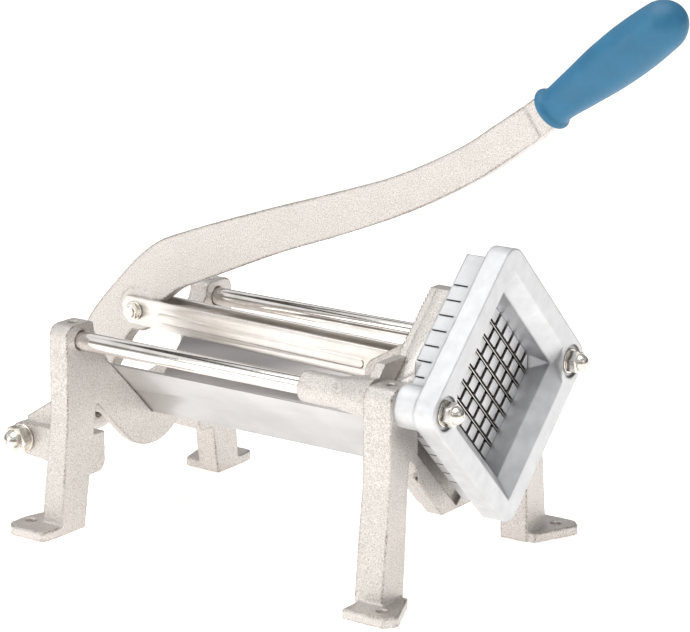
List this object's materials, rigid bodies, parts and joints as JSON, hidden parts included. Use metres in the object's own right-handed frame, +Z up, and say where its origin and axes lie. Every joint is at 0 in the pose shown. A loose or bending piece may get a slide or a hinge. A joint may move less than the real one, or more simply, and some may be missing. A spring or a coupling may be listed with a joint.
{
  "type": "french fry cutter",
  "caption": "Lever-operated french fry cutter: cast frames on guide rods carry a V trough, and a lever and link drive a pusher head through a diagonal blade grid.",
  "frame": {"origin": "on the table surface, midway between the two rear foot bolt holes", "axes": "+X runs along the guide rods from the rear legs towards the blades, +Y across to the left, +Z up"},
  "size_m": [0.4836, 0.238, 0.3932],
  "materials": {
    "frame_casting": "sand cast and nickel plated, fine pebble",
    "lever_casting": "sand cast and nickel plated, fine pebble",
    "pusher_casting": "sand cast and nickel plated, fine pebble",
    "rod_chrome": "hard chrome, ground and polished",
    "trough_steel": "cold rolled stainless sheet, satin",
    "link_steel": "polished folded stainless",
    "holder_aluminium": "die cast, bead blasted matte",
    "blade_steel": "hardened stainless blade",
    "zinc_nut": "bright zinc or nickel plate",
    "shaft_steel": "ground steel",
    "steel_screw": "plain steel",
    "bronze_bush": "sintered bronze",
    "vinyl_grip": "dipped vinyl, satin"
  },
  "bodies": {
    "root": {"rear_frame": "frame_casting", "front_frame": "frame_casting", "guide_rod_left": "rod_chrome", "guide_rod_right": "rod_chrome", "rod_set_screws": "steel_screw", "trough": "trough_steel", "trough_screws": "steel_screw", "blade_holder": "holder_aluminium", "blades_front": "blade_steel", "blades_rear": "blade_steel", "holder_washers": "zinc_nut", "holder_nuts": "zinc_nut", "arm_bushes": "bronze_bush"},
    "lever": {"lever": "lever_casting", "lever_set_screw": "steel_screw", "lever_shaft": "shaft_steel", "shaft_washers": "zinc_nut", "shaft_nuts": "zinc_nut", "grip": "vinyl_grip", "link_bolt": "zinc_nut", "link_bolt_nut": "zinc_nut", "link_washers": "zinc_nut"},
    "link": {"link": "link_steel", "link_front_bush": "bronze_bush"},
    "pusher": {"pusher_carriage": "pusher_casting", "pusher_head": "pusher_casting", "clevis_bolts": "zinc_nut", "head_screws": "steel_screw", "sleeve_bushes": "bronze_bush"}
  },
  "joints": [
    {"name": "lever_swing", "type": "hinge", "parent": "root", "child": "lever", "pos_m": [-0.0324, 0, 0.053], "axis": [0, -1, 0], "range_deg": [0, 100]},
    {"name": "link_pivot", "type": "hinge", "parent": "lever", "child": "link", "pos_m": [0.0186, 0, 0.1395], "axis": [0, -1, 0], "range_deg": [-86.6, 0]},
    {"name": "pusher_slide", "type": "slide", "parent": "root", "child": "pusher", "axis": [-1, 0, 0], "range_m": [0, 0.1497]}
  ],
  "couplings": [
    {"joint": "link_pivot", "follows": "lever_swing", "ratio": -0.8656},
    {"joint": "pusher_slide", "follows": "lever_swing", "m_per_rad": 0.085769}
  ]
}
